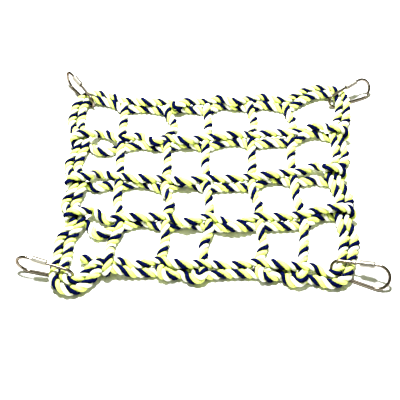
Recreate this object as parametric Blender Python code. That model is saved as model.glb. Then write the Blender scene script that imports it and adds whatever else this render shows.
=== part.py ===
"""A small rope climbing net lying flat, with a screw quick link at each corner.

Every border and every cross row is a pair of ropes, and five single ropes weave
through the pairs. The far part of the net folds over the near part on a line
between the first and second rows; the ropes that cross that line are cut there.
Metres, +Z up, floor at Z = 0, origin at the middle of the footprint.
"""

import math

import bmesh
import bpy
from mathutils import Euler, Matrix, Vector

MM = 0.001

# Driving dimensions, in millimetres.
ROPE_D = 10.0            # rope, laid from three strands
ROPE_R = ROPE_D / 2
PINCH = 0.76             # rope radius ratio where two ropes cross
CORNER_PINCH = 0.84      # the same where a pair runs through a link
LOW = 4.0                # height of a rope that passes under another
HIGH = 12.5              # height of a rope that passes over another
TOP = 21.9               # height of a rope that wraps over a raised pair
LIFT = 8.4               # height of the pair inside a link
PAIR_HALF = 5.25         # half the spacing of a pair between crossings
CROSS_HALF = 7.5         # half the spacing of a pair at a crossing
SIDE_HALF = 4.7          # half the spacing of the side ropes inside a wrap
POINT_STEP = 8.5         # spacing of the points along a rope tube
WIRE_D = 3.6             # link wire
WIDE_R = 12.5            # centreline radius of the link's wide end
NARROW_R = 8.0           # centreline radius of its narrow end
ARC_GAP = 40.0           # distance between the two arc centres
GAP_FROM = 6.0           # the opening in the upper leg, from the wide arc
GAP_TO = 14.0
SLEEVE_FROM = 3.0        # the closed sleeve, from the wide arc
SLEEVE_LENGTH = 16.0
SLEEVE_FLATS = 6.8       # across the flats of the hexagon
SLEEVE_BORE_D = 4.4
FOLD_CUT = 2.0           # half the gap between rope ends on the fold line
FOLD_HEIGHT = 14.0
FOLD_A = (-157.0, 53.0)  # two points of the fold line
FOLD_B = (177.0, 66.0)
SHIFT = (-14.9, -34.8)   # from the layout below to the middle of the footprint

ROPE_COLOUR = (0.62, 0.68, 0.30)
STEEL_COLOUR = (0.62, 0.60, 0.57)

# Crossings of the five weaving ropes with each pair, then the spans between.
COLUMNS = 5
TOP_ROW = [(-96, 151), (-41, 148), (9, 149), (64, 154), (110, 153)]
ROW1 = [(-96, 83), (-40, 84), (7, 84), (62, 88), (111, 92)]
ROW2 = [(-94, 21), (-40, 17), (8, 18), (60, 20), (109, 27)]
ROW3 = [(-89, -39), (-38, -39), (10, -39), (66, -38), (114, -36)]
BOTTOM_ROW = [(-95, -98), (-42, -98), (4, -102), (62, -100), (108, -106)]
TOP_SPANS = [(-68, 152), (-17, 152), (37, 158), (87, 161)]
SPANS1 = [(-67, 88), (-16, 88), (35, 90), (86, 94)]
SPANS2 = [(-67, 23), (-16, 21), (35, 21), (84, 29)]
SPANS3 = [(-63, -35), (-14, -38), (38, -39), (90, -33)]
BOTTOM_SPANS = [(-69, -98), (-19, -101), (33, -99), (85, -103)]


def fold_y(x):
    """Y of the fold line at x."""
    run = (x - FOLD_A[0]) / (FOLD_B[0] - FOLD_A[0])
    return FOLD_A[1] + run * (FOLD_B[1] - FOLD_A[1])


def smooth(points, closed=False):
    """Points of a smooth curve through (x, y, z, ratio) points, none below the floor."""
    keys = [Vector(p) for p in points]
    count = len(keys)
    out = []
    for i in range(count if closed else count - 1):
        if closed:
            a, b, c, d = (keys[(i + k) % count] for k in (-1, 0, 1, 2))
        else:
            b, c = keys[i], keys[i + 1]
            a = keys[i - 1] if i else b * 2 - c
            d = keys[i + 2] if i + 2 < count else c * 2 - b
        steps = max(1, round((c - b).xyz.length / POINT_STEP))
        for k in range(steps):
            t = k / steps
            p = 0.5 * (2 * b + (c - a) * t + (2 * a - 5 * b + 4 * c - d) * t * t
                       + (3 * b - a - 3 * c + d) * t ** 3)
            p.z = max(p.z, ROPE_R * p.w)
            out.append(p)
    if not closed:
        out.append(keys[-1])
    return out


def material(name, colour, metallic, roughness):
    mat = bpy.data.materials.new(name)
    mat.use_nodes = True
    shader = mat.node_tree.nodes["Principled BSDF"]
    shader.inputs["Base Color"].default_value = (*colour, 1)
    shader.inputs["Metallic"].default_value = metallic
    shader.inputs["Roughness"].default_value = roughness
    mat.diffuse_color = (*colour, 1)
    return mat


def empty(name, place):
    """An empty at a layout position in millimetres."""
    obj = bpy.data.objects.new(name, None)
    obj.location = world(place)
    bpy.context.collection.objects.link(obj)
    return obj


def world(place):
    x, y, z = place
    return Vector((x + SHIFT[0], y + SHIFT[1], z)) * MM


def tube(name, points, radius, parent, colour, metallic, rough, closed=False, sides=2):
    """A round tube along (x, y, z, ratio) points, as a curve with filled caps."""
    data = bpy.data.curves.new(name, "CURVE")
    data.dimensions = "3D"
    data.bevel_depth = radius * MM
    data.bevel_resolution = sides
    data.use_fill_caps = True
    data.render_resolution_u = 0
    spline = data.splines.new("POLY")
    spline.points.add(len(points) - 1)
    base = parent.location if parent else Vector()
    for knot, p in zip(spline.points, points):
        knot.co = (*(world(p[:3]) - base), 1)
        knot.radius = p[3]
    spline.use_cyclic_u = closed
    spline.use_smooth = True
    data.materials.append(material(name, colour, metallic, rough))
    obj = bpy.data.objects.new(name, data)
    obj.parent = parent
    bpy.context.collection.objects.link(obj)
    return obj


def rope(name, points, parent=None, closed=False):
    return tube(name, smooth(points, closed), ROPE_R, parent, ROPE_COLOUR, 0.0, 0.85,
                closed)


# Routes. Every point is (x, y, z, ratio of the full rope radius).

def far_arm(row, spans):
    """The far rope of a pair: over each weaving rope, from the left to the right."""
    points = []
    for i, (x, y) in enumerate(row):
        points.append((x - 3.6, y + CROSS_HALF, HIGH, PINCH))
        points.append((x + 3.6, y + CROSS_HALF, HIGH, PINCH))
        if i < len(spans):
            sx, sy = spans[i]
            points.append((sx, sy + PAIR_HALF, ROPE_R, 1.0))
    return points


def near_arm(row, spans):
    """The near rope of a pair: under each weaving rope, from the left to the right."""
    points = []
    for i, (x, y) in enumerate(row):
        points.append((x - 3.6, y - CROSS_HALF, LOW, PINCH))
        points.append((x + 3.6, y - CROSS_HALF, LOW, PINCH))
        if i < len(spans):
            sx, sy = spans[i]
            points.append((sx, sy - PAIR_HALF, ROPE_R, 1.0))
    return points


def wrap(x, y, side):
    """Over a raised pair of side ropes, round their outside and back under."""
    steps = [
        (12.0, 6.5, 17.8), (4.5, 5.0, TOP), (-4.5, 3.2, TOP), (-11.2, 1.5, 18.3),
        (-13.4, 0.0, HIGH), (-11.2, -1.5, 6.6), (-4.5, -3.2, LOW), (4.5, -5.0, LOW),
        (12.5, -6.5, LOW),
    ]
    return [(x + side * dx, y + dy, z, PINCH) for dx, dy, z in steps]


def row_loop(row, spans, left, right, left_far, left_near, right_far, right_near):
    """One doubled cross row: a loop that wraps both side borders."""
    points = wrap(*right, -1)
    points += right_near
    points += near_arm(row, spans)[::-1]
    points += left_near
    points += wrap(*left, 1)[::-1]
    points += left_far
    points += far_arm(row, spans)
    points += right_far
    return points


def crossing(x, y):
    """A weaving rope through one pair, from the far side to the near side."""
    return [
        (x, y + 13.5, 4.5, 0.85),
        (x, y + CROSS_HALF, LOW, PINCH),
        (x, y + 3.6, LOW + 1.3, PINCH),
        (x, y - 3.6, HIGH - 1.3, PINCH),
        (x, y - CROSS_HALF, HIGH, PINCH),
        (x, y - 14.0, 10.9, 0.85),
    ]


def clip(points, far):
    """The part of a route on one side of the fold line, ending at the cut."""
    out = []
    for a, b in zip(points, points[1:]):
        ends = []
        for x, y, *_ in (a, b):
            gap = y - fold_y(x) - (FOLD_CUT if far else -FOLD_CUT)
            ends.append(gap if far else -gap)
        if ends[0] >= 0 and (not out or out[-1] != a):
            out.append(a)
        if ends[0] * ends[1] < 0:
            t = ends[0] / (ends[0] - ends[1])
            out.append(tuple(p + (q - p) * t for p, q in zip(a, b)))
    last = points[-1]
    gap = last[1] - fold_y(last[0])
    if (gap > FOLD_CUT) if far else (gap < -FOLD_CUT):
        out.append(last)
    return out


def half(points, far):
    """A smooth route, then only its far or near part."""
    return clip([tuple(p) for p in smooth(points)], far)


def cut_rope(name, points, parent):
    return tube(name, points, ROPE_R, parent, ROPE_COLOUR, 0.0, 0.85)


# The five weaving ropes between the pairs, far to near.
RUNS = [
    [[(-96.5, 118, 5, 1)], [(-95.5, 53, 5, 1)], [(-94, -8, 5, 1)], [(-96.5, -68, 5, 1)]],
    [[(-32, 117, 5, 1)], [(-38.5, 54, 5, 1)], [(-33, -8, 5, 1)], [(-38, -64, 5, 1)]],
    [[(10.5, 117, 5, 1)], [(6, 54, 5, 1)], [(11, -9, 5, 1)], [(4, -68, 5, 1)]],
    [[(68, 122, 5, 1)], [(62.5, 55, 5, 1)], [(66, -8, 5, 1)], [(69.5, -67, 5, 1)]],
    [[(117, 123, 5, 1)], [(109, 59, 5, 1)], [(111, -3, 5, 1)], [(112.5, -66, 5, 1)]],
]


def weave(i):
    """Weaving rope i from its tucked far end to the near border's crossing."""
    x, y = TOP_ROW[i]
    points = [(x, y + 11.0, LOW, PINCH)] + crossing(x, y)[1:]
    for row, run in zip((ROW1, ROW2, ROW3, BOTTOM_ROW), RUNS[i]):
        points += run + crossing(*row[i])
    return points


def bottom_run(i):
    """Weaving ropes i and i + 1 as one rope that turns along the near border."""
    ax, ay = BOTTOM_ROW[i]
    bx, by = BOTTOM_ROW[i + 1]
    sx, sy = BOTTOM_SPANS[i]
    turn = [
        (ax + 0.5, ay - 12.6, 11.0, 0.8),
        (ax + 3.5, ay - 17.3, 6.6, 0.88),
        (ax + 11, ay - 19, 4.8, 0.95),
        (sx, sy - 16.0, 4.8, 0.95),
        (bx - 11, by - 19, 4.8, 0.95),
        (bx - 3.5, by - 17.3, 6.6, 0.88),
        (bx - 0.5, by - 12.6, 11.0, 0.8),
    ]
    return weave(i)[:-1] + turn + weave(i + 1)[:-1][::-1]


def left_tail():
    """The first weaving rope, wrapped round the near border and laid along it."""
    x, y = BOTTOM_ROW[0]
    down = [
        (x - 0.5, y + 19, 11.5, 0.9), (x, y + 11.8, 17.9, PINCH),
        (x, y + 4.5, TOP, PINCH), (x - 0.5, y - 4.5, TOP, PINCH),
        (x - 1.5, y - 11.2, 18.3, PINCH), (x - 2.5, y - 13.4, HIGH, PINCH),
        (x - 3.5, y - 11.2, 6.6, PINCH), (x - 5, y - 4.5, LOW, PINCH),
        (x - 7, y + 3.4, LOW, PINCH), (x - 13, y + 10.4, 4.3, 0.85),
        (x - 22, y + 11.0, 5, 1), (x - 32, y + 11.0, 5, 1),
    ]
    return weave(0)[:-6] + down


def side_pair(outer):
    """The left and right side ropes inside each wrap, by row."""
    k = SIDE_HALF if outer else -SIDE_HALF
    left = [[(x - k, y + dy, HIGH, PINCH) for dy in (-6.5, 6.5)]
            for x, y in (LEFT1, LEFT2, LEFT3)]
    right = [[(x + k, y + dy, HIGH, PINCH) for dy in (6.5, -6.5)]
             for x, y in (RIGHT1, RIGHT2, RIGHT3)]
    return left, right


LEFT1, LEFT2, LEFT3 = (-143.5, 84), (-141, 14), (-137, -37)
RIGHT1, RIGHT2, RIGHT3 = (168, 93), (156.5, 28), (158.5, -32)


def border(outer):
    """One border rope, from the near left corner round by the far side."""
    left, right = side_pair(outer)
    c, p = CORNER_PINCH, PINCH
    x1, y1 = BOTTOM_ROW[0]
    if outer:
        near = [
            (x1 + 13, y1 - 5.2, 9.5, 0.9), (x1 + 2, y1 - SIDE_HALF, HIGH, p),
            (x1 - 9, y1 - SIDE_HALF - 0.4, HIGH, p), (-113.5, -114.7, 7.5, 0.9),
            (-122.5, -123, 6, 0.95), (-134, -127, 6.5, 0.95), (-145, -123, 8, c),
            (-151, -115, LIFT, c), (-152.3, -105.2, LIFT, c),
            (-152.3, -95, LIFT, c), (-151.5, -82, 6, 1), (-152, -61, 5, 1), *left[2],
            (-153.6, -12, 5, 1), *left[1], (-156.4, 48, 5, 1), *left[0],
            (-160.3, 116, 5, 1), (-160.5, 136, 5.5, 1), (-158.5, 152, 7.6, c),
            (-149.2, 167.4, LIFT, c), (-137, 174, 7.8, c), (-124, 172, 6, 1),
            (-110.5, 165.5, 8.5, 0.9),
        ]
        far = far_arm(TOP_ROW, TOP_SPANS)
        end = [
            (127, 172, 8.5, 1), (143, 181, 8, 0.95), (161, 184.5, 7.8, 0.9),
            (179.5, 178, LIFT, c), (187.4, 163, LIFT, c), (187, 146, 7.5, c),
            (183.5, 126, 5.2, 1), *right[0], (175.4, 60, 5, 1), *right[1],
            (170.5, -3, 5, 1), *right[2], (169, -58, 5, 1), (165.5, -80, 6, 1),
            (162.5, -98, LIFT, c), (157, -111, LIFT, c), (147.5, -119.5, 8.2, c),
            (136, -119.3, 6.5, 0.95), (123, -114.2, 5, 1),
        ]
    else:
        near = [
            (x1 + 13, y1 + 5.2, 9.5, 0.9), (x1 + 2, y1 + SIDE_HALF, HIGH, p),
            (x1 - 9, y1 + SIDE_HALF, HIGH, p), (-112.8, -98.0, 9, 0.85),
            (-120.8, -108, 7, 0.9), (-129.5, -116, 8, c), (-138.4, -114.8, LIFT, c),
            (-142.7, -106.2, LIFT, c), (-142.8, -96, LIFT, c),
            (-141.2, -82, 6, 1), (-141, -61, 5, 1), *left[2],
            (-141.0, -12, 5, 1), *left[1], (-144.9, 48, 5, 1), *left[0],
            (-148.3, 115, 5, 1), (-149.3, 134, 5.5, 1), (-149, 149, 8, c),
            (-143.3, 158.8, LIFT, c), (-134, 162.4, 8, c), (-122.5, 158.6, 6, 0.97),
            (-109.5, 150, 4.7, 0.9),
        ]
        far = near_arm(TOP_ROW, TOP_SPANS)
        end = [
            (129, 160.3, 7, 1), (145, 169.6, 8, 0.95), (160, 173.2, 7.8, 0.9),
            (173, 169, LIFT, c), (178.6, 158.6, LIFT, c), (177.4, 146, 7.5, c),
            (172.8, 127, 5.2, 1), *right[0], (163.3, 60, 5, 1), *right[1],
            (159.8, -3, 5, 1), *right[2], (158.2, -58, 5, 1), (154.8, -80, 6, 1),
            (152.6, -96, LIFT, c), (148.2, -105.6, LIFT, c), (140.5, -109.6, 8.2, c),
            (130.5, -105.3, 6.5, 0.95), (121, -100.4, 8.5, 0.9),
        ]
    return near, far, end


def border_ring(outer):
    """The closed border rope: near left, left side, far side, right side, near."""
    near, far, end = border(outer)
    row, spans = BOTTOM_ROW[1:], BOTTOM_SPANS[1:]
    arm = near_arm(row, spans) if outer else far_arm(row, spans)
    sx, sy = BOTTOM_SPANS[0]
    span = (sx, sy - PAIR_HALF, ROPE_R, 1) if outer else (sx, sy + PAIR_HALF, ROPE_R, 1)
    return near + far + end + arm[::-1] + [span]


def split_ring(points):
    """A closed route as one far piece and one near piece, cut on the fold line."""
    ring = [tuple(p) for p in smooth(points, closed=True)]
    start = min(range(len(ring)), key=lambda i: ring[i][1])
    ring = ring[start:] + ring[:start] + [ring[start]]
    first = next(i for i, p in enumerate(ring) if p[1] > fold_y(p[0]))
    last = max(i for i, p in enumerate(ring) if p[1] > fold_y(p[0]))
    far = clip(ring[first - 1:last + 2], True)
    near = clip(ring[last:-1] + ring[:first + 1], False)
    return far, near


# Quick links. The plane's own axes: u along the lower leg, w across the loop.

def link_shape():
    """Half taper, and the straight leg's length, from the two arcs."""
    half_angle = math.asin((WIDE_R - NARROW_R) / ARC_GAP)
    return half_angle, ARC_GAP * math.cos(half_angle)


def leg_point(s):
    """A point of the upper leg, s from the wide arc's end, as (u, w)."""
    half_angle, leg = link_shape()
    angle = 2 * half_angle
    u0 = leg - WIDE_R * math.sin(angle)
    w0 = WIDE_R + WIDE_R * math.cos(angle)
    return u0 - s * math.cos(angle), w0 - s * math.sin(angle)


def arc(cu, cw, radius, start, stop, steps):
    out = []
    for i in range(steps + 1):
        a = start + (stop - start) * i / steps
        out.append((cu + radius * math.cos(a), cw + radius * math.sin(a)))
    return out


def link_wire():
    """The open wire: from the gap round the narrow end, then round the wide end."""
    half_angle, leg = link_shape()
    angle = 2 * half_angle
    top = math.pi / 2 + angle
    points = [leg_point(GAP_TO), leg_point((GAP_TO + leg) / 2)]
    points += arc(0, NARROW_R, NARROW_R, top, 1.5 * math.pi, 9)
    points.append((leg / 2, 0))
    points += arc(leg, WIDE_R, WIDE_R, -math.pi / 2, top, 13)
    points.append(leg_point(GAP_FROM))
    return points


def link(name, base, azimuth, tilt, body):
    """One link wire, its lower leg on the floor, tilted up about that leg."""
    turn = Euler((math.radians(tilt), 0, math.radians(azimuth)), "XYZ").to_matrix()
    data = bpy.data.curves.get("link_wire")
    if data is None:
        data = bpy.data.curves.new("link_wire", "CURVE")
        data.dimensions = "3D"
        data.bevel_depth = WIRE_D / 2 * MM
        data.bevel_resolution = 2
        data.use_fill_caps = True
        data.render_resolution_u = 0
        points = link_wire()
        spline = data.splines.new("POLY")
        spline.points.add(len(points) - 1)
        for knot, (u, w) in zip(spline.points, points):
            knot.co = (u * MM, w * MM, 0, 1)
        spline.use_smooth = True
        data.materials.append(material("steel_wire", STEEL_COLOUR, 1.0, 0.18))
    obj = bpy.data.objects.new(name, data)
    obj.parent = body
    start = world((*base, WIRE_D / 2 + 0.05))
    obj.matrix_basis = Matrix.LocRotScale(start - body.matrix_world.translation, turn, None)
    bpy.context.collection.objects.link(obj)
    return obj, turn, start


def sleeve_mesh():
    """A hexagonal tube about its own X axis, open right through."""
    mesh = bpy.data.meshes.get("sleeve")
    if mesh:
        return mesh
    corner = SLEEVE_FLATS / math.sqrt(3)
    chamfer = 0.7
    half_length = SLEEVE_LENGTH / 2
    rings = []
    for x, scale in ((-half_length, 0.86), (-half_length + chamfer, 1.0),
                     (half_length - chamfer, 1.0), (half_length, 0.86)):
        rings.append([(x, corner * scale * math.cos(a), corner * scale * math.sin(a))
                      for a in (math.tau * k / 6 for k in range(6))])
    bore = SLEEVE_BORE_D / 2 / math.cos(math.pi / 12)
    for x in (half_length, -half_length):
        rings.append([(x, bore * math.cos(a), bore * math.sin(a))
                      for a in (math.tau * k / 12 for k in range(12))])
    verts = [Vector(p) * MM for ring in rings for p in ring]
    starts = [0, 6, 12, 18, 24, 36]
    faces = []
    for r in range(3):
        a, b = starts[r], starts[r + 1]
        faces += [(a + k, b + k, b + (k + 1) % 6, a + (k + 1) % 6) for k in range(6)]
    for hexa, hole in ((18, 24), (0, 36)):
        for k in range(6):
            n = (k + 1) % 6
            h0, h1, h2 = hole + 2 * k, hole + 2 * k + 1, hole + (2 * k + 2) % 12
            faces += [(hexa + k, h0, h1), (hexa + k, h1, hexa + n), (hexa + n, h1, h2)]
            if hexa == 0:
                faces[-3:] = [f[::-1] for f in faces[-3:]]
    faces += [(24 + k, 36 + k, 36 + (k + 1) % 12, 24 + (k + 1) % 12) for k in range(12)]
    mesh = bpy.data.meshes.new("sleeve")
    mesh.from_pydata(verts, [], faces)
    shell = bmesh.new()
    shell.from_mesh(mesh)
    bmesh.ops.recalc_face_normals(shell, faces=shell.faces)
    shell.to_mesh(mesh)
    shell.free()
    mesh.materials.append(material("steel_sleeve", STEEL_COLOUR, 1.0, 0.3))
    return mesh


def sleeve(name, turn, start, body):
    """The sleeve on the upper leg, closed over the gap."""
    half_angle, _ = link_shape()
    u, w = leg_point(SLEEVE_FROM + SLEEVE_LENGTH / 2)
    along = turn @ Euler((0, 0, 2 * half_angle), "XYZ").to_matrix()
    place = start + turn @ Vector((u * MM, w * MM, 0))
    obj = bpy.data.objects.new(name, sleeve_mesh())
    obj.parent = body
    obj.matrix_basis = Matrix.LocRotScale(place - body.matrix_world.translation, along, None)
    bpy.context.collection.objects.link(obj)
    return obj


LINKS = [
    # name, foot of the lower leg, azimuth, tilt, on the far part
    ("far_left", (-141.6, 158.9), 129.0, 91.0, True),
    ("far_right", (175.0, 155.8), 23.5, 60.0, True),
    ("near_left", (-139.8, -107.8), 168.0, 90.0, False),
    ("near_right", (143.5, -104.6), -24.0, 52.0, False),
]
PIVOT_U = 8.0            # the swivel line's place along the lower leg


def build_links(far_body):
    for name, base, azimuth, tilt, far in LINKS:
        a, t = math.radians(azimuth), math.radians(tilt)
        across = NARROW_R * math.cos(t)
        pivot = (base[0] + PIVOT_U * math.cos(a) - across * math.sin(a),
                 base[1] + PIVOT_U * math.sin(a) + across * math.cos(a), 0)
        swivel = empty("swivel_" + name, pivot)
        bpy.context.view_layer.update()
        if far:
            swivel.location = swivel.location - far_body.location
            swivel.parent = far_body
            bpy.context.view_layer.update()
        _, turn, start = link("link_" + name, base, azimuth, tilt, swivel)
        sleeve("sleeve_" + name, turn, start, swivel)


def build_rows(far_body):
    """The three doubled cross rows."""
    rope("row1_rope", row_loop(
        ROW1, SPANS1, LEFT1, RIGHT1,
        left_far=[(-128.5, 97.5, 10, 0.95), (-119, 102.5, 6, 1), (-108.5, 98, 7.5, 0.9)],
        left_near=[(-109, 70.5, 4.6, 0.95), (-122, 71.5, 5, 1)],
        right_far=[(127, 107, 8, 1), (141.5, 109.5, 12.5, 1), (153.5, 104, 17, 0.85)],
        right_near=[(142.5, 91, 5, 1), (127.5, 88.5, 4.8, 0.95)],
    ), far_body, closed=True)
    rope("row2_rope", row_loop(
        ROW2, SPANS2, LEFT2, RIGHT2,
        left_far=[(-126, 27, 11, 0.95), (-116, 33, 6, 1), (-105.5, 32, 8, 0.9)],
        left_near=[(-106, 11.0, 4.6, 0.95), (-118, 8.5, 5, 1)],
        right_far=[(123, 41, 8, 1), (133, 45, 9, 1), (142, 40, 14.5, 0.85)],
        right_near=[(133, 20.5, 5, 1), (122.5, 19.5, 4.8, 0.95)],
    ), None, closed=True)
    rope("row3_rope", row_loop(
        ROW3, SPANS3, LEFT3, RIGHT3,
        left_far=[(-122, -25, 11, 0.95), (-112.5, -23.5, 6, 1), (-101.5, -31, 8, 0.9)],
        left_near=[(-100.5, -51.5, 4.6, 0.95), (-113, -53, 5, 1)],
        right_far=[(127, -22.5, 8, 1), (137, -20, 11, 1), (146, -24, 16.5, 0.85)],
        right_near=[(136, -37.5, 5, 1), (125.5, -41.5, 4.8, 0.95)],
    ), None, closed=True)


def build_weave(far_body):
    """The five weaving ropes, cut on the fold line."""
    for i in range(COLUMNS):
        cut_rope(f"weave{i + 1}_far", half(weave(i), True), far_body)
    cut_rope("weave1_near", half(left_tail(), False), None)
    for i in (1, 3):
        route = [tuple(p) for p in smooth(bottom_run(i))]
        low = [k for k, p in enumerate(route) if p[1] < fold_y(p[0]) - FOLD_CUT]
        part = route[low[0] - 1:low[-1] + 2]
        cut_rope(f"weave{i + 1}{i + 2}_near", clip(part, False), None)


def build_borders(far_body):
    for label, outer in (("outer", True), ("inner", False)):
        far, near = split_ring(border_ring(outer))
        cut_rope(f"border_{label}_far", far, far_body)
        cut_rope(f"border_{label}_near", near, None)


def main():
    for obj in list(bpy.data.objects):
        bpy.data.objects.remove(obj)
    middle = (0.5 * (FOLD_A[0] + FOLD_B[0]), 0.5 * (FOLD_A[1] + FOLD_B[1]), FOLD_HEIGHT)
    far_body = empty("fold_axis", middle)
    bpy.context.view_layer.update()
    build_borders(far_body)
    build_rows(far_body)
    build_weave(far_body)
    build_links(far_body)


main()
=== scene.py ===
"""The rope climbing net's looks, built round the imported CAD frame."""

import math

import bmesh
import bpy
import numpy as np
from mathutils import Euler, Matrix, Vector


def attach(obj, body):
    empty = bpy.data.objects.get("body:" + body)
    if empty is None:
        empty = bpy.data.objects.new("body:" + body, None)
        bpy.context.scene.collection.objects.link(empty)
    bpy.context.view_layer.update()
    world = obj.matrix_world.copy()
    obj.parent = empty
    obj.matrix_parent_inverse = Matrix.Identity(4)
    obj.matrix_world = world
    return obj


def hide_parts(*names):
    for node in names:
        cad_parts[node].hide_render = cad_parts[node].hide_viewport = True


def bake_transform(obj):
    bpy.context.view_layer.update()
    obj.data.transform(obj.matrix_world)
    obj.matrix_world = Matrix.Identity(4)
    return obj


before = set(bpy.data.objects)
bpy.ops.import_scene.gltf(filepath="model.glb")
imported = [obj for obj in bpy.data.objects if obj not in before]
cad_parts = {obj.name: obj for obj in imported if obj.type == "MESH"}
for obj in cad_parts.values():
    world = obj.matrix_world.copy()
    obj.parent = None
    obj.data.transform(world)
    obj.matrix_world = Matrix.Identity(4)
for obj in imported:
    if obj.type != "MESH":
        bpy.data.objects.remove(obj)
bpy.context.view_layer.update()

MM = 0.001
FULL_TURN = 2 * math.pi

# ---------------------------------------------------------------- the layout, in millimetres

SHIFT = (-14.9, -34.8, 0.0)   # from the layout to the middle of the footprint

ROPE_R = 5.6
PINCH = 0.76             # rope radius ratio where two ropes cross
TIGHT = 0.84             # the same where a pair of ropes runs through a link
# Heights of a rope's middle: under a crossing, over one rope, over two, and over a link's wire.
LOW, HIGH, TOP, LIFT = 4.4, 10.8, 20.6, 8.4
CROSS_HALF = 5.4         # half the spacing of a pair where a weaving rope crosses it
CROSS_REACH = 3.2        # how far the pinch of that crossing reaches each way
SIDE_HALF = 4.1          # half the spacing of the side ropes inside a wrap
SIDE_REACH = 6.5         # how far the pinch of a wrap reaches each way

# Where the five weaving ropes cross each pair of ropes, from the left.
TOP_ROW = [(-96, 151), (-41, 148), (9, 149), (64, 154), (110, 153)]
ROW1 = [(-96, 83), (-40, 84), (7, 84), (62, 88), (111, 92)]
ROW2 = [(-94, 21), (-40, 17), (8, 18), (60, 20), (109, 27)]
ROW3 = [(-89, -39), (-38, -39), (10, -39), (66, -38), (114, -36)]
BOTTOM_ROW = [(-95, -98), (-42, -98), (4, -102), (62, -100), (108, -106)]
# Between the crossings: x, then the far rope's (y, z) and the near rope's (y, z).
TOP_SPANS = [
    [(-68, 150, 15.2, 148.1, 5.6)],
    [(-29, 142.5, 13.5, 147.7, 5.6), (-18, 150, 15.2, 147.8, 5.6)],
    [(26, 158.5, 13.5, 154, 5.6), (45, 150.6, 14, 152.7, 5.6)],
    [(80, 164.6, 10, 154.7, 5.6), (97, 158, 11, 151, 5.6)],
]
SPANS1 = [
    [(-72, 93.2, 10.5, 83, 5.6), (-55, 79, 13.4, 80, 5.6)],
    [(-16, 81.5, 15, 85, 5.6)],
    [(28, 90, 14, 86.9, 5.6), (48, 94.6, 13, 88.7, 5.6)],
    [(86, 97.2, 12, 86.2, 5.6)],
]
SPANS2 = [
    [(-68, 20.6, 14.5, 21.2, 5.6)],
    [(-17, 16.5, 14, 22.5, 5.6)],
    [(35, 21.5, 12.5, 15.2, 5.6)],
    [(82, 26.8, 14.5, 28.1, 5.6)],
]
SPANS3 = [
    [(-64, -35.8, 14, -36.3, 5.6)],
    [(-15, -43.5, 13.5, -38.5, 5.6)],
    [(38, -40.2, 5.6, -47.5, 10.5)],
    [(88, -34, 11, -42.5, 5.6)],
]
BOTTOM_SPANS = [
    [(-69, -97, 9, -104, 5.6)],
    [(-19, -99.5, 14.5, -97, 5.6)],
    [(33, -97.8, 9, -104.8, 5.6)],
    [(85, -100.5, 15, -98, 5.6)],
]
# Where each weaving rope lies between two rows, from the far one.
BETWEEN_ROWS = [
    [(-96.5, 118), (-95.5, 53), (-94, -8), (-96.5, -68)],
    [(-32, 117), (-38.5, 54), (-33, -8), (-38, -64)],
    [(10.5, 117), (6, 54), (11, -9), (4, -68)],
    [(68, 122), (62.5, 55), (66, -8), (69.5, -67)],
    [(117, 123), (109, 59), (111, -3), (112.5, -66)],
]
BETWEEN_HEIGHT = 5
# Y of each turn along the near border, by the number of its left weaving rope.
TURN_Y = {1: -105.5, 3: -107.0}
# Where each cross rope wraps the side ropes: x, y, and the lean of its lower pass.
LEFT1, LEFT2, LEFT3 = (-142.5, 84, 1.0), (-140.0, 14, -0.6), (-135.5, -37, 0.4)
RIGHT1, RIGHT2, RIGHT3 = (167.3, 93, -0.6), (155.0, 28, 1.0), (157.5, -32, -0.6)

CROSS_ROPES = [
    # piece, CAD node, body, then its crossings, what lies between them and its two wraps,
    # and its points between a wrap and the nearest crossing, each on the way round:
    # left far, left near, right far, right near.
    ("cross_rope_far", "row1_rope", "net_far", ROW1, SPANS1, LEFT1, RIGHT1,
     [(-127, 99, 9, 0.95), (-119, 102, 6, 1), (-108, 97, 7.5, 0.95)],
     [(-109, 71.5, 5.4, 0.95), (-124, 72.5, 5.6, 1)],
     [(128, 105, 9, 1), (143, 104, 17, 1), (153, 101.5, 19, 0.9)],
     [(142, 101, 8.4, 1), (127, 97, 8, 0.95)]),
    ("cross_rope_middle", "row2_rope", "net_near", ROW2, SPANS2, LEFT2, RIGHT2,
     [(-125, 32, 9, 0.95), (-115, 35, 6.5, 1), (-105, 30, 8, 0.95)],
     [(-105, 18.5, 5.4, 0.95), (-119, 13, 5.6, 1)],
     [(124, 39, 8, 1), (136, 45, 8.5, 1), (145, 38, 14.5, 0.9)],
     [(135, 26.5, 5.6, 1), (124, 23.5, 5.6, 0.95)]),
    ("cross_rope_near", "row3_rope", "net_near", ROW3, SPANS3, LEFT3, RIGHT3,
     [(-121, -23.5, 12, 0.95), (-112, -28.5, 7, 1), (-101, -36.5, 7, 0.95)],
     [(-101, -52, 5.4, 0.95), (-114, -54.5, 5.6, 1)],
     [(127, -25, 10, 1), (137, -26, 15, 1), (145, -26, 17.5, 0.9)],
     [(134, -29.5, 7, 1), (124, -35, 7, 0.95)]),
]

LINKS = [
    # name, foot of the lower leg, azimuth and tilt in degrees
    ("far_left", (-141.6, 158.9), 129.0, 91.0),
    ("far_right", (175.0, 155.8), 23.5, 60.0),
    ("near_left", (-139.8, -107.8), 168.0, 90.0),
    ("near_right", (143.5, -104.6), -24.0, 52.0),
]


# ---------------------------------------------------------------- routes
# Every point is (x, y, z, ratio of the full rope radius). The routes follow the CAD ropes,
# and the far rope of a pair also climbs onto the near one between the crossings.

def pair_rope(row, spans, far):
    """One rope of a pair: over (far) or under (near) each weaving rope, left to right."""
    side, height = (CROSS_HALF, HIGH) if far else (-CROSS_HALF, LOW)
    points = []
    for i, (x, y) in enumerate(row):
        points += [(x + dx, y + side, height, PINCH) for dx in (-CROSS_REACH, CROSS_REACH)]
        if i < len(spans):
            for between_x, far_y, far_z, near_y, near_z in spans[i]:
                points.append((between_x, far_y, far_z, 1) if far else (between_x, near_y, near_z, 1))
    return points


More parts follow.
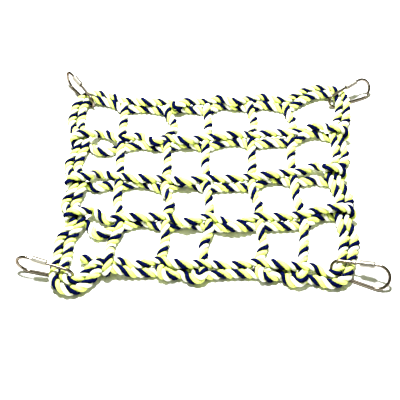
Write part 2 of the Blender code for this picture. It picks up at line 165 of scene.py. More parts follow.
def wrap(x, y, lean, side):
    """Over the two side ropes, round their outside and back under. Side: 1 is left, -1 right."""
    steps = [
        (11.5, 6.0, 16.8), (4.5, 4.6, TOP), (-4.5, 3.0, TOP), (-9.8, 1.4, 17.2),
        (-11.6, 0.0, 11.8), (-9.8, -1.4 * lean, 6.8), (-4.5, -3.0 * lean, LOW),
        (4.5, -4.6 * lean, LOW), (12.0, -6.0 * lean, LOW),
    ]
    return [(x + side * dx, y + dy, z, PINCH) for dx, dy, z in steps]


def cross_loop(row, spans, left, right, left_far, left_near, right_far, right_near):
    """A doubled cross rope: one loop that wraps both side borders."""
    points = wrap(*right, -1)
    points += right_near
    points += pair_rope(row, spans, False)[::-1]
    points += left_near
    points += wrap(*left, 1)[::-1]
    points += left_far
    points += pair_rope(row, spans, True)
    points += right_far
    return points


def crossing(x, y):
    """A weaving rope through one pair: under its far rope and over its near rope."""
    return [
        (x, y + 12.0, 5.0, 0.9),
        (x, y + CROSS_HALF, LOW, PINCH),
        (x, y + 2.4, LOW + 1.6, PINCH),
        (x, y - 2.4, HIGH - 1.6, PINCH),
        (x, y - CROSS_HALF, HIGH, PINCH),
        (x, y - 12.0, 8.2, 0.9),
    ]


def weave(i):
    """Weaving rope i, counted from 0 at the left: from under the far border to over the near one."""
    x, y = TOP_ROW[i]
    points = [(x, y + 9.0, LOW, PINCH)] + crossing(x, y)[1:]
    for row, between in zip((ROW1, ROW2, ROW3, BOTTOM_ROW), BETWEEN_ROWS[i]):
        points += [(*between, BETWEEN_HEIGHT, 1)] + crossing(*row[i])
    return points


def weave_pair(i):
    """Weaving ropes i and i + 1, one rope that turns along the near border."""
    ax, ay = BOTTOM_ROW[i]
    bx, by = BOTTOM_ROW[i + 1]
    turn = [
        (ax + 1.5, ay - 9.5, 9.5, 0.9), (ax + 6, ay - 11, 6.4, 0.95),
        (ax + 14, ay - 9.5, 5.6, 1), ((ax + bx) / 2, TURN_Y[i], 5.6, 1),
        (bx - 14, by - 9.5, 5.6, 1), (bx - 6, by - 11, 6.4, 0.95),
        (bx - 1.5, by - 9.5, 9.5, 0.9),
    ]
    return weave(i)[:-1] + turn + weave(i + 1)[:-1][::-1]


def weave_left():
    """The first weaving rope, which wraps the near border and ends in a tail."""
    x, y = BOTTOM_ROW[0]
    down = [
        (x - 0.5, y + 20, 9, 0.9), (x, y + 14, 15.5, PINCH),
        (x, y + 7, 19.6, PINCH), (x - 0.5, y - 0.5, 19.4, PINCH),
        (x - 1.5, y - 6.4, 15.6, PINCH), (x - 2.5, y - 8.2, 10.5, PINCH),
        (x - 3.5, y - 6.6, 6.2, PINCH), (x - 5, y - 1.5, LOW, PINCH),
        (x - 7, y + 4.5, LOW, PINCH), (x - 13, y + 9.5, 4.8, 0.9),
        (x - 22, y + 11.0, 5, 1), (x - 32, y + 11.0, 5, 1),
    ]
    return weave(0)[:-len(crossing(x, y))] + down


def side_crossings(outer):
    """One border rope inside its wraps: the left ones going far, the right ones going near."""
    offset = SIDE_HALF if outer else -SIDE_HALF
    left = [[(x - offset, y + dy, HIGH, PINCH) for dy in (-SIDE_REACH, SIDE_REACH)]
            for x, y, _ in (LEFT1, LEFT2, LEFT3)]
    right = [[(x + offset, y + dy, HIGH, PINCH) for dy in (SIDE_REACH, -SIDE_REACH)]
             for x, y, _ in (RIGHT1, RIGHT2, RIGHT3)]
    return left, right


def outer_sides():
    """The outer border rope's left corners and side, and its right side and corners."""
    left, right = side_crossings(True)
    x, y = BOTTOM_ROW[0]
    going_far = [
        (x + 13, y - 5.2, 9.5, 0.9), (x + 2, y - SIDE_HALF, HIGH, PINCH),
        (x - 9, y - SIDE_HALF - 0.4, HIGH, PINCH), (-113.5, -114.7, 7.5, 0.9),
        (-122.5, -123, 6, 0.95), (-134, -127, 6.5, 0.95), (-145, -123, 8, TIGHT),
        (-151, -115, LIFT, TIGHT), (-152.3, -105.2, LIFT, TIGHT), (-152.3, -95, LIFT, TIGHT),
        (-151.5, -82, 6, 1), (-152, -61, 5, 1), *left[2],
        (-153, -12, 5, 1), *left[1], (-156, 48, 5, 1), *left[0],
        (-159.5, 116, 5, 1), (-160.5, 136, 5.5, 1), (-158.5, 152, 7.6, TIGHT),
        (-149.2, 167.4, LIFT, TIGHT), (-137, 174, 7.8, TIGHT), (-124, 172, 6, 1),
        (-110.5, 165.5, 8.5, 0.9),
    ]
    going_near = [
        (127, 172, 8.5, 1), (143, 181, 8, 0.95), (161, 184.5, 7.8, 0.9),
        (179.5, 178, LIFT, TIGHT), (187.4, 163, LIFT, TIGHT), (187, 146, 7.5, TIGHT),
        (183.5, 126, 5.2, 1), *right[0], (174.5, 60, 5, 1), *right[1],
        (170.5, -3, 5, 1), *right[2], (168.5, -58, 5, 1), (165, -73, 5.5, 1),
        (161.2, -86, 7, 0.92), (157.2, -99.4, 8, TIGHT), (153.8, -109, 8, TIGHT),
        (146.8, -116.2, 7.3, TIGHT), (135.4, -118.4, 6, 0.95), (123, -114.2, 5, 1),
    ]
    return going_far, going_near


def inner_sides():
    """The inner border rope's left corners and side, and its right side and corners."""
    left, right = side_crossings(False)
    x, y = BOTTOM_ROW[0]
    going_far = [
        (x + 13, y + 5.2, 9.5, 0.9), (x + 2, y + SIDE_HALF, HIGH, PINCH),
        (x - 9, y + SIDE_HALF, HIGH, PINCH), (-112.8, -98.0, 9, 0.85),
        (-120.8, -108, 7, 0.9), (-129.5, -116, 8, TIGHT), (-138.4, -114.8, LIFT, TIGHT),
        (-142.7, -106.2, LIFT, TIGHT), (-142.8, -96, LIFT, TIGHT),
        (-141.2, -82, 6, 1), (-141, -61, 5, 1), *left[2],
        (-141.5, -12, 5, 1), *left[1], (-145.2, 48, 5, 1), *left[0],
        (-148.6, 115, 5, 1), (-149.3, 134, 5.5, 1), (-149, 149, 8, TIGHT),
        (-143.3, 158.8, LIFT, TIGHT), (-134, 162.4, 8, TIGHT), (-121, 160, 6, 0.97),
        (-106.5, 154.5, 5.4, 0.95),
    ]
    going_near = [
        (129, 160.3, 7, 1), (145, 169.6, 8, 0.95), (160, 173.2, 7.8, 0.9),
        (173, 169, LIFT, TIGHT), (178.6, 158.6, LIFT, TIGHT), (177.4, 146, 7.5, TIGHT),
        (172.8, 127, 5.2, 1), *right[0], (163.8, 60, 5, 1), *right[1],
        (159.8, -3, 5, 1), *right[2], (157.8, -58, 5, 1), (154.2, -72, 5.5, 1),
        (151.2, -84.4, 7, 0.92), (148.4, -95.4, 8.2, TIGHT), (144.2, -104.2, 8.2, TIGHT),
        (137.2, -107.6, 8.2, TIGHT), (128.8, -104.6, 6.8, 0.92), (121, -100.4, 8.5, 0.9),
    ]
    return going_far, going_near


def border_loop(outer):
    """A border rope, all the way round from the near left corner."""
    going_far, going_near = outer_sides() if outer else inner_sides()
    far_side = pair_rope(TOP_ROW, TOP_SPANS, outer)
    # The left crossing of the near side is already in going_far.
    near_side = pair_rope(BOTTOM_ROW, BOTTOM_SPANS, not outer)[2:]
    return going_far + far_side + going_near + near_side[::-1]


# ---------------------------------------------------------------- materials

def new_material(name):
    mat = bpy.data.materials.new(name)
    mat.use_nodes = True
    tree = mat.node_tree
    return mat, tree, tree.nodes["Principled BSDF"]


def feed(tree, socket, value):
    """Another node's output, a colour or a number into a socket."""
    if isinstance(value, bpy.types.NodeSocket):
        tree.links.new(value, socket)
    elif isinstance(value, tuple):
        socket.default_value = (*value, 1)
    else:
        socket.default_value = value


def node(tree, kind, **values):
    """A new node with its sockets or its own settings filled in by name."""
    made = tree.nodes.new(kind)
    for key, value in values.items():
        if key in made.inputs:
            feed(tree, made.inputs[key], value)
        else:
            setattr(made, key, value)
    return made


def math_node(tree, operation, first, second):
    made = node(tree, "ShaderNodeMath", operation=operation)
    feed(tree, made.inputs[0], first)
    feed(tree, made.inputs[1], second)
    return made.outputs[0]


def map_range(tree, value, from_min, from_max, to_min, to_max):
    made = node(tree, "ShaderNodeMapRange", Value=value)
    feed(tree, made.inputs["From Min"], from_min)
    feed(tree, made.inputs["From Max"], from_max)
    feed(tree, made.inputs["To Min"], to_min)
    feed(tree, made.inputs["To Max"], to_max)
    return made.outputs[0]


def mix_colour(tree, factor, first, second, blend_type="MIX"):
    made = node(tree, "ShaderNodeMix", data_type="RGBA", blend_type=blend_type, Factor=factor)
    feed(tree, made.inputs[6], first)
    feed(tree, made.inputs[7], second)
    return made.outputs[2]


def colour_ramp(tree, value, *stops):
    """A colour ramp through (position, colour) stops, the lowest first."""
    made = node(tree, "ShaderNodeValToRGB", Fac=value)
    elements = made.color_ramp.elements
    for element, (position, colour) in zip(elements, (stops[0], stops[-1])):
        element.position = position
        element.color = (*colour, 1)
    for position, colour in stops[1:-1]:
        elements.new(position).color = (*colour, 1)
    return made.outputs["Color"]


def bump(tree, shader, height, strength, distance):
    made = node(tree, "ShaderNodeBump", Strength=strength, Distance=distance, Height=height)
    feed(tree, shader.inputs["Normal"], made.outputs["Normal"])


def fibre_noise(tree, uv, stretch, detail, roughness):
    """Noise drawn out along the rope."""
    mapping = node(tree, "ShaderNodeMapping", Vector=uv)
    mapping.inputs["Scale"].default_value = stretch
    noise = node(tree, "ShaderNodeTexNoise", Scale=1.0, Detail=detail, Roughness=roughness)
    feed(tree, noise.inputs["Vector"], mapping.outputs[0])
    return noise.outputs["Fac"]


FINE_SHARE = 0.55        # of the fibres in the colour and the bump; the yarns have the rest
GROOVE_SHADE_START = 0.45      # depth in the lay where the painted groove shade starts, from 0 on a strand's crown to 1 between strands
GROOVE_SHADE_STRENGTH = 0.8
# Painted contact shade: an olive tint multiplied in where ambient occlusion finds surfaces close by.
CONTACT_SHADE = (0.45, 0.50, 0.30)
CONTACT_SHADE_REACH = 0.007      # metres
CONTACT_SHADE_FULL, CONTACT_SHADE_NONE = 0.25, 0.72   # how open a place is, where the painted shade is full and gone


def painted_groove_shade(tree, colour, groove_shade_colour):
    """Painted shade: the colour turns toward the groove shade colour, deeper in the lay between the
    strands.
    """
    across = node(tree, "ShaderNodeUVMap", uv_map="strand")
    split = node(tree, "ShaderNodeSeparateXYZ", Vector=across.outputs[0])
    depth = map_range(tree, split.outputs[1], GROOVE_SHADE_START, 1.0, 0.0, GROOVE_SHADE_STRENGTH)
    return mix_colour(tree, depth, colour, groove_shade_colour)


def painted_contact_shade(tree, colour):
    """Painted shade: darker and greener in the hollows where ropes press on each other or lie on the
    floor.
    """
    hollow = node(tree, "ShaderNodeAmbientOcclusion", Distance=CONTACT_SHADE_REACH, samples=12)
    unshaded = map_range(tree, hollow.outputs["AO"], CONTACT_SHADE_FULL, CONTACT_SHADE_NONE, 0.0, 1.0)
    shaded = mix_colour(tree, 1.0, colour, CONTACT_SHADE, "MULTIPLY")
    return mix_colour(tree, unshaded, shaded, colour)


def strand_material(name, low, mid, high, groove_shade_colour, sheen, specular):
    """Spun strand: fine fibres and coarser yarns that run along the rope."""
    mat, tree, shader = new_material(name)
    uv = node(tree, "ShaderNodeUVMap", uv_map="fibre").outputs[0]
    fibres = fibre_noise(tree, uv, (0.16, 2.6, 1.0), 4.0, 0.62)
    yarns = fibre_noise(tree, uv, (0.07, 0.85, 1.0), 1.5, 0.5)
    spun = math_node(tree, "ADD", math_node(tree, "MULTIPLY", fibres, FINE_SHARE),
                     math_node(tree, "MULTIPLY", yarns, 1 - FINE_SHARE))
    colour = colour_ramp(tree, spun, (0.34, low), (0.5, mid), (0.66, high))
    # Painted shade: first down in the lay's grooves, then in the hollows where ropes touch.
    colour = painted_contact_shade(tree, painted_groove_shade(tree, colour, groove_shade_colour))
    feed(tree, shader.inputs["Base Color"], colour)
    feed(tree, shader.inputs["Roughness"], map_range(tree, fibres, 0.0, 1.0, 0.62, 0.85))
    bump(tree, shader, spun, strength=0.55, distance=0.0005)
    shader.inputs["Sheen Weight"].default_value = sheen
    shader.inputs["Sheen Roughness"].default_value = 0.4
    shader.inputs["Specular IOR Level"].default_value = specular
    return mat


# Each strand's groove colour is painted shade for the hollows of the lay.
WHITE = strand_material(
    "strand_white", (0.76, 0.77, 0.68), (0.86, 0.87, 0.80), (0.92, 0.93, 0.89),
    groove_shade_colour=(0.58, 0.66, 0.12), sheen=0.1, specular=0.3)
YELLOW = strand_material(
    "strand_yellow", (0.67, 0.80, 0.12), (0.80, 0.91, 0.20), (0.87, 0.96, 0.32),
    groove_shade_colour=(0.55, 0.64, 0.08), sheen=0.1, specular=0.3)
NAVY = strand_material(
    "strand_navy", (0.0002, 0.0003, 0.003), (0.001, 0.002, 0.026), (0.003, 0.008, 0.105),
    groove_shade_colour=(0.0001, 0.0001, 0.001), sheen=0.0, specular=0.0)


SPECK_TINT = 0.86        # how dark the steel's dull specks are
SPECK_ROUGH = (0.7, 1.5)   # the least and most rough, over the material's own roughness


def steel_material(name, colour, rough, grain):
    """Plated steel with a fine grain in its roughness, its tint and its surface."""
    mat, tree, shader = new_material(name)
    place = tree.nodes.new("ShaderNodeTexCoord").outputs["Object"]
    noise = node(tree, "ShaderNodeTexNoise", Vector=place, Scale=grain, Detail=5.0).outputs["Fac"]
    dull = tuple(c * SPECK_TINT for c in colour)
    least, most = (rough * ratio for ratio in SPECK_ROUGH)
    feed(tree, shader.inputs["Base Color"], colour_ramp(tree, noise, (0.0, dull), (1.0, colour)))
    feed(tree, shader.inputs["Roughness"], map_range(tree, noise, 0.0, 1.0, least, most))
    bump(tree, shader, noise, strength=0.12, distance=0.00005)
    shader.inputs["Metallic"].default_value = 1.0
    shader.inputs["Specular Tint"].default_value = (0.10, 0.06, 0.03, 1)
    return mat


STEEL = steel_material("steel_polished", (0.21, 0.18, 0.14), 0.20, 900.0)
NUT_STEEL = steel_material("steel_satin", (0.54, 0.51, 0.44), 0.36, 420.0)


# ---------------------------------------------------------------- smooth curves

def catmull(points, closed, step):
    """A smooth curve through the points, as points about a step apart."""
    keys = np.array(points, float)
    count = len(keys)
    out = []
    for i in range(count if closed else count - 1):
        if closed:
            a, b, c, d = (keys[(i + k) % count] for k in (-1, 0, 1, 2))
        else:
            b, c = keys[i], keys[i + 1]
            a = keys[i - 1] if i else 2 * b - c
            d = keys[i + 2] if i + 2 < count else 2 * c - b
        steps = max(2, int(np.linalg.norm((c - b)[:3]) / step))
        t = (np.arange(steps) / steps)[:, None]
        out.append(0.5 * (2 * b + (c - a) * t + (2 * a - 5 * b + 4 * c - d) * t ** 2
                          + (3 * b - a - 3 * c + d) * t ** 3))
    if not closed:
        out.append(keys[-1:])
    return np.vstack(out)


def resample(points, closed, step):
    """The same curve in even steps, and its length."""
    path = np.vstack([points, points[:1]]) if closed else points
    length = np.concatenate([[0], np.cumsum(np.linalg.norm(np.diff(path[:, :3], axis=0), axis=1))])
    at = np.linspace(0, length[-1], round(length[-1] / step) + 1)
    out = np.column_stack([np.interp(at, length, path[:, k]) for k in range(path.shape[1])])
    return (out[:-1] if closed else out), length[-1]


def blur(points, closed, sigma):
    """The curve softened over sigma points each way."""
    reach = int(sigma * 3)
    kernel = np.exp(-0.5 * (np.arange(-reach, reach + 1) / sigma) ** 2)
    kernel /= kernel.sum()
    if closed:
        pad = np.vstack([points[-reach:], points, points[:reach]])
    else:
        pad = np.vstack([2 * points[0] - points[reach:0:-1], points,
                         2 * points[-1] - points[-2:-reach - 2:-1]])
    return np.column_stack([np.convolve(pad[:, k], kernel, "valid") for k in range(points.shape[1])])


def carry_frames(path, closed):
    """Tangents, and two normals carried along with no twist."""
    if closed:
        tangent = np.roll(path, -1, 0) - np.roll(path, 1, 0)
    else:
        tangent = np.gradient(path, axis=0)
    tangent /= np.linalg.norm(tangent, axis=1)[:, None]
    normal = np.zeros_like(path)
    start = np.cross(tangent[0], (0, 0, 1.0))
    normal[0] = np.cross(start / np.linalg.norm(start), tangent[0])
    for i in range(1, len(path)):
        n = normal[i - 1] - tangent[i] * normal[i - 1].dot(tangent[i])
        normal[i] = n / np.linalg.norm(n)
    return tangent, normal, np.cross(tangent, normal)


# ---------------------------------------------------------------- meshes

def new_object(name, data):
    obj = bpy.data.objects.new(name, data)
    bpy.context.collection.objects.link(obj)
    return obj


def ring_faces(count, sides, closed):
    """The faces between rings of vertices, as vertex numbers."""
    faces = []
    for i in range(count if closed else count - 1):
        here, after = i * sides, (i + 1) % count * sides
        for j in range(sides):
            k = (j + 1) % sides
            faces.append((here + j, here + k, after + k, after + j))
    return faces


# ---------------------------------------------------------------- ropes

CURVE_STEP = 1.0         # spacing of the points that a route is softened on
SOFTNESS = 2.6           # how far the softening reaches, in those points
PINCH_SHOWN = 0.45       # share of the CAD rope's pinch that the laid rope keeps
RING_STEP = 1.35         # spacing of the rope mesh's rings
LAY = 20.8               # length of one full turn of the three strands
LOBE = 0.56              # strand radius over rope radius
STRANDS = 3
STRAND_SIDES = 11        # vertices across one strand
SIDES = STRANDS * STRAND_SIDES
END_BULGE = 1.0          # how far an open rope's end stands out in its middle
END_DEPTH = 0.9          # depth in the lay there, for the painted groove shade


def rope_route(points, closed):
    """Evenly spaced points of a soft curve that stays on the floor or above it, and its length."""
    dense, _ = resample(catmull(points, closed, CURVE_STEP), closed, CURVE_STEP)
    dense = blur(dense, closed, SOFTNESS)
    dense[:, 3] = 1 - (1 - dense[:, 3]) * PINCH_SHOWN
    path, length = resample(dense, closed, RING_STEP)
    path[:, 2] = np.maximum(path[:, 2], ROPE_R * path[:, 3])
    return path, length


def lay_turns(frames, closed, length):
    """The strands' turn at each ring, in radians: even, and whole turns round a loop."""
    tangent, normal, side = frames
    total = FULL_TURN * length / LAY
    if closed:
        last = normal[-1] - tangent[0] * normal[-1].dot(tangent[0])
        drift = math.atan2(last.dot(side[0]), last.dot(normal[0]))
        total = FULL_TURN * round((total + drift) / FULL_TURN) - drift
    count = len(tangent)
    return total * np.arange(count) / (count if closed else count - 1)


def strand_profile():
    """Angle, radius ratio and depth in the lay, for each vertex of one ring."""
    centre = 1 - LOBE
    out = []
    for strand in range(STRANDS):
        for k in range(STRAND_SIDES):
            local = (k / STRAND_SIDES - 0.5) * FULL_TURN / STRANDS
            reach = centre * math.cos(local) + math.sqrt(LOBE ** 2 - (centre * math.sin(local)) ** 2)
            out.append((strand * FULL_TURN / STRANDS + local, reach, abs(local) / (math.pi / STRANDS)))
    return np.array(out)


PROFILE = strand_profile()


def rope_points(path, frames, turns):
    """Every vertex of the rope's rings, in metres."""
    _, normal, side = frames
    angle = PROFILE[None, :, 0] + turns[:, None]
    reach = PROFILE[None, :, 1] * (path[:, 3] * ROPE_R)[:, None]
    points = (path[:, None, :3] + normal[:, None] * (np.cos(angle) * reach)[..., None]
              + side[:, None] * (np.sin(angle) * reach)[..., None])
    return ((points + SHIFT).reshape(-1, 3) * MM).tolist()


def close_ends(path, tangent, points, faces, strands, depth):
    """A low cone over each end of an open rope."""
    for end, out in ((0, -tangent[0]), (len(path) - 1, tangent[-1])):
        tip = len(points)
        points.append(((path[end, :3] + out * END_BULGE + SHIFT) * MM).tolist())
        depth.append(END_DEPTH)
        for j in range(SIDES):
            rim = (end * SIDES + j, end * SIDES + (j + 1) % SIDES)
            faces.append((tip, *rim) if end else (tip, *rim[::-1]))
            strands.append(j // STRAND_SIDES)


def fibre_map(turns, length, rings):
    """Each face corner's place along the rope and round it, in millimetres."""
    step = length / rings
    along = np.arange(rings)[:, None] * step
    rim = np.append(PROFILE[:, 0], PROFILE[-1, 0] + FULL_TURN / STRANDS / STRAND_SIDES)
    turn = turns[:rings, None]
    next_turn = np.append(turns, 2 * turns[-1] - turns[-2])[1:rings + 1, None]
    corners = (
        (along, rim[:-1] + turn), (along, rim[1:] + turn),
        (along + step, rim[1:] + next_turn), (along + step, rim[:-1] + next_turn),
    )
    pairs = [np.stack(np.broadcast_arrays(u, v * ROPE_R), -1) for u, v in corners]
    return np.stack(pairs, 2).reshape(-1, 2)


def add_uv_maps(mesh, fibre, depth):
    """Along the rope against the way round it, and against the depth in the lay."""
    loops = len(mesh.loops)
    uv = np.zeros((loops, 2))
    uv[:len(fibre)] = fibre
    mesh.uv_layers.new(name="fibre").data.foreach_set("uv", uv.ravel())
    vertex = np.zeros(loops, int)
    mesh.loops.foreach_get("vertex_index", vertex)
    uv[:, 1] = np.array(depth)[vertex]
    mesh.uv_layers.new(name="strand").data.foreach_set("uv", uv.ravel())


def rope(name, route, closed=False, swapped=False):
    """A three-strand rope along a route, its white and yellow strands swapped or not."""
    path, length = rope_route(route, closed)
    frames = carry_frames(path[:, :3], closed)
    turns = lay_turns(frames, closed, length)
    count = len(path)
    rings = count if closed else count - 1
    points = rope_points(path, frames, turns)
    faces = ring_faces(count, SIDES, closed)
    strands = [j // STRAND_SIDES for j in range(SIDES)] * rings
    depth = PROFILE[:, 2].tolist() * count
    if not closed:
        close_ends(path, frames[0], points, faces, strands, depth)

    mesh = bpy.data.meshes.new(name)
    mesh.from_pydata(points, [], faces)
    for mat in (NAVY, WHITE, YELLOW):
        mesh.materials.append(mat)
    slots = (0, 2, 1) if swapped else (0, 1, 2)
    mesh.polygons.foreach_set("material_index", [slots[strand] for strand in strands])
    mesh.polygons.foreach_set("use_smooth", [True] * len(faces))
    add_uv_maps(mesh, fibre_map(turns, length, rings), depth)
    mesh.update()
    obj = new_object(name, mesh)
    return obj


def build_folding_ropes():
    """The border and weaving ropes, which run through the fold as whole ropes."""
    pieces = [
        ("border_outer_rope", border_loop(True), True, ("border_outer_far", "border_outer_near")),
        ("border_inner_rope", border_loop(False), True, ("border_inner_far", "border_inner_near")),
        ("weave_left_rope", weave_left(), False, ("weave1_far", "weave1_near")),
        ("weave_middle_rope", weave_pair(1), False, ("weave2_far", "weave3_far", "weave23_near")),
        ("weave_right_rope", weave_pair(3), False, ("weave4_far", "weave5_far", "weave45_near")),
    ]
    for name, route, closed, nodes in pieces:
        obj = rope(name, route, closed, swapped=closed)
        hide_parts(*nodes)
        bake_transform(obj)


def build_cross_ropes():
    for name, cad_node, body, *layout in CROSS_ROPES:
        obj = rope(name, cross_loop(*layout), closed=True)
        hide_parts(cad_node)
        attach(obj, body)


# ---------------------------------------------------------------- quick links

WIRE_R = 1.8
WIDE_R, NARROW_R = 12.5, 8.0   # the bow at the outer end, and the one the ropes run through
BOW_GAP = 40.0           # between the two bows' centres
GAP_FROM, GAP_TO = 6.0, 14.0   # the gap in the wire, from the wide bow along the upper leg
LEG_ANGLE = math.asin((WIDE_R - NARROW_R) / BOW_GAP)
LOWER_LEG = BOW_GAP * math.cos(LEG_ANGLE)
FLOOR_GAP = 0.05

WIRE_STEP = 0.35         # spacing of the wire mesh's rings
WIRE_SIDES = 20
THREAD_PITCH = 0.7
THREAD_DEPTH = 0.30
THREAD_LENGTH = 9.2      # from each side of the gap
THREAD_RUNOUT = 0.8

SLEEVE_FROM, SLEEVE_LENGTH = 3.0, 16.0
SLEEVE_FLATS = 6.8       # across the flats
SLEEVE_WEAR = 0.965      # how much of the hexagon's corners is left
SLEEVE_SIDES = 48
# The nut's end, from inside the bore to the flats: distance in from the end, largest radius.
SLEEVE_END = [(0.15, 2.15), (0.0, 2.35), (0.0, 2.85), (0.25, 3.1), (1.1, math.inf)]
BEVEL = 0.00012          # metres
BEVEL_FROM = math.radians(25)


def leg_point(s):
    """The point of the upper leg that lies s from the wide bow, in the link's own plane."""
    angle = 2 * LEG_ANGLE
    u = LOWER_LEG - WIDE_R * math.sin(angle) - s * math.cos(angle)
    w = WIDE_R + WIDE_R * math.cos(angle) - s * math.sin(angle)
    return u, w


def arc(centre, radius, start, stop, steps):
    """Points of an arc whose centre is on the plane's u = centre, and which rests on w = 0."""
    angles = [start + (stop - start) * i / steps for i in range(steps + 1)]
    return [(centre + radius * math.cos(a), radius + radius * math.sin(a)) for a in angles]


def wire_line():
    """The wire's middle in its own plane, from one side of the gap to the other."""
    top = math.pi / 2 + 2 * LEG_ANGLE
    line = [leg_point(GAP_TO), leg_point((GAP_TO + LOWER_LEG) / 2)]
    line += arc(0, NARROW_R, top, 1.5 * math.pi, 24)
    line.append((LOWER_LEG / 2, 0))
    line += arc(LOWER_LEG, WIDE_R, -math.pi / 2, top, 36)
    line.append(leg_point(GAP_FROM))
    return np.array(line)


def sweep(name, rings, closed, mat, smooth):
    """A tube through rings of vertices in millimetres: a closed loop, or with capped ends."""
    count, sides = rings.shape[:2]
    faces = ring_faces(count, sides, closed)
    walls = len(faces)
    if not closed:
        faces.append(tuple(range(sides))[::-1])
        faces.append(tuple((count - 1) * sides + j for j in range(sides)))
    mesh = bpy.data.meshes.new(name)
    mesh.from_pydata((rings * MM).reshape(-1, 3).tolist(), [], faces)
    shell = bmesh.new()
    shell.from_mesh(mesh)
    bmesh.ops.recalc_face_normals(shell, faces=shell.faces)
    shell.to_mesh(mesh)
    shell.free()
    mesh.materials.append(mat)
    mesh.polygons.foreach_set("use_smooth", [smooth and i < walls for i in range(len(faces))])
    return new_object(name, mesh)


def link_wire(name, place):
    """The bent wire, with a thread on each side of its gap."""
    line, length = resample(wire_line(), False, WIRE_STEP)
    count = len(line)
    s = np.linspace(0, length, count)
    tangent = np.gradient(line, axis=0)
    tangent /= np.linalg.norm(tangent, axis=1)[:, None]
    normal = np.column_stack([-tangent[:, 1], tangent[:, 0]])
    rings = np.zeros((count, WIRE_SIDES, 3))
    for j in range(WIRE_SIDES):
        a = FULL_TURN * j / WIRE_SIDES
        radius = np.full(count, WIRE_R)
        for from_gap in (s, length - s):
            cut = np.clip((THREAD_LENGTH - from_gap) / THREAD_RUNOUT, 0, 1) * THREAD_DEPTH
            radius -= cut * (0.5 + 0.5 * np.cos(FULL_TURN * from_gap / THREAD_PITCH + a))
        rings[:, j, :2] = line + normal * (math.cos(a) * radius)[:, None]
        rings[:, j, 2] = math.sin(a) * radius
    obj = sweep(name, rings, False, STEEL, smooth=True)
    obj.data.transform(place)
    return obj


def sleeve_nut(name, place):
    """A hexagonal tube with turned, chamfered ends, about its own X axis."""
    half = SLEEVE_LENGTH / 2
    inradius = SLEEVE_FLATS / 2
    corner = SLEEVE_FLATS / math.sqrt(3) * SLEEVE_WEAR
    stations = [(inset - half, limit) for inset, limit in SLEEVE_END]
    stations += [(half - inset, limit) for inset, limit in SLEEVE_END[::-1]]
    rings = np.zeros((len(stations), SLEEVE_SIDES, 3))
    for j in range(SLEEVE_SIDES):
        a = FULL_TURN * j / SLEEVE_SIDES + math.pi / 6
        from_flat = a % (math.pi / 3) - math.pi / 6
        hexagon = min(inradius / math.cos(from_flat), corner)
        for i, (x, limit) in enumerate(stations):
            radius = min(hexagon, limit)
            rings[i, j] = (x, radius * math.cos(a), radius * math.sin(a))
    obj = sweep(name, rings, True, NUT_STEEL, smooth=False)
    obj.data.transform(place)
    bevel = obj.modifiers.new("edges", "BEVEL")
    bevel.width = BEVEL
    bevel.segments = 2
    bevel.limit_method = "ANGLE"
    bevel.angle_limit = BEVEL_FROM
    return obj


def build_links():
    for name, base, azimuth, tilt in LINKS:
        turn = Euler((math.radians(tilt), 0, math.radians(azimuth)), "XYZ").to_matrix()
        start = Vector((base[0] + SHIFT[0], base[1] + SHIFT[1], WIRE_R + FLOOR_GAP)) * MM
        wire = link_wire("link_wire_" + name, Matrix.LocRotScale(start, turn, None))
        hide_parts("link_" + name)
        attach(wire, "quick_link_" + name)
        u, w = leg_point(SLEEVE_FROM + SLEEVE_LENGTH / 2)
        along = turn @ Euler((0, 0, 2 * LEG_ANGLE), "XYZ").to_matrix()
        middle = start + turn @ Vector((u * MM, w * MM, 0))
        nut = sleeve_nut("sleeve_nut_" + name, Matrix.LocRotScale(middle, along, None))
        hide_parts("sleeve_" + name)
        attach(nut, "nut_" + name)


# ---------------------------------------------------------------- floor, light, camera, in metres

FLOOR_HALF = 3.0
FLOOR_DROP = 0.0001      # keeps the floor clear of the ropes' undersides

WORLD_STRENGTH = 0.42
KEY_PLACE = (-0.12, 0.22, 1.34)
KEY_SIZE = 0.20
KEY_POWER = 69
KEY_COLOUR = (1.0, 0.985, 1.0)

LENS, SENSOR = 62.64, 36         # millimetres
VIEW_DOWN = math.radians(50)
VIEW_DISTANCE = 0.8


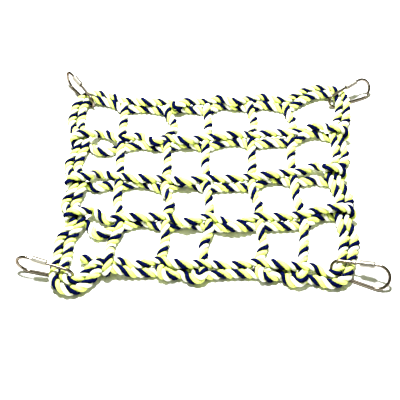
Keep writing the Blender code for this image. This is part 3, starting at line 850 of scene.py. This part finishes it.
def build_stage():
    mesh = bpy.data.meshes.new("floor")
    corners = [(x * FLOOR_HALF, y * FLOOR_HALF, 0) for x, y in ((-1, -1), (1, -1), (1, 1), (-1, 1))]
    mesh.from_pydata(corners, [], [(0, 1, 2, 3)])
    mat, _, shader = new_material("floor_white")
    shader.inputs["Base Color"].default_value = (0.92, 0.92, 0.92, 1)
    shader.inputs["Roughness"].default_value = 0.9
    mesh.materials.append(mat)
    floor = new_object("floor", mesh)
    floor.location.z = -FLOOR_DROP


def build_world():
    """A pale ceiling that darkens to a warm, dim horizon."""
    world = bpy.data.worlds.new("studio")
    bpy.context.scene.world = world
    world.use_nodes = True
    tree = world.node_tree
    place = tree.nodes.new("ShaderNodeTexCoord").outputs["Generated"]
    split = node(tree, "ShaderNodeSeparateXYZ", Vector=place)
    colour = colour_ramp(tree, split.outputs[2], (0.0, (0.055, 0.036, 0.02)),
                         (0.35, (0.22, 0.19, 0.12)), (0.75, (0.88, 1.0, 0.66)))
    back = tree.nodes["Background"]
    feed(tree, back.inputs["Color"], colour)
    back.inputs["Strength"].default_value = WORLD_STRENGTH


def build_key_light():
    """One small strong lamp overhead, a little behind and to the left."""
    data = bpy.data.lights.new("key", "AREA")
    data.shape = "DISK"
    data.size = KEY_SIZE
    data.energy = KEY_POWER
    data.color = KEY_COLOUR
    lamp = new_object("key", data)
    lamp.location = KEY_PLACE
    lamp.rotation_euler = (-Vector(KEY_PLACE)).to_track_quat("-Z", "Y").to_euler()


def build_camera():
    data = bpy.data.cameras.new("camera")
    data.sensor_width = SENSOR
    data.lens = LENS
    camera = new_object("camera", data)
    aim = Vector((SHIFT[0], SHIFT[1], 0)) * MM
    camera.location = aim + Vector((0, -math.cos(VIEW_DOWN), math.sin(VIEW_DOWN))) * VIEW_DISTANCE
    camera.rotation_euler = (math.radians(90) - VIEW_DOWN, 0, 0)
    bpy.context.scene.camera = camera


build_camera()
build_folding_ropes()
build_cross_ropes()
build_links()
build_stage()
build_world()
build_key_light()
bpy.context.scene.view_settings.view_transform = "Standard"
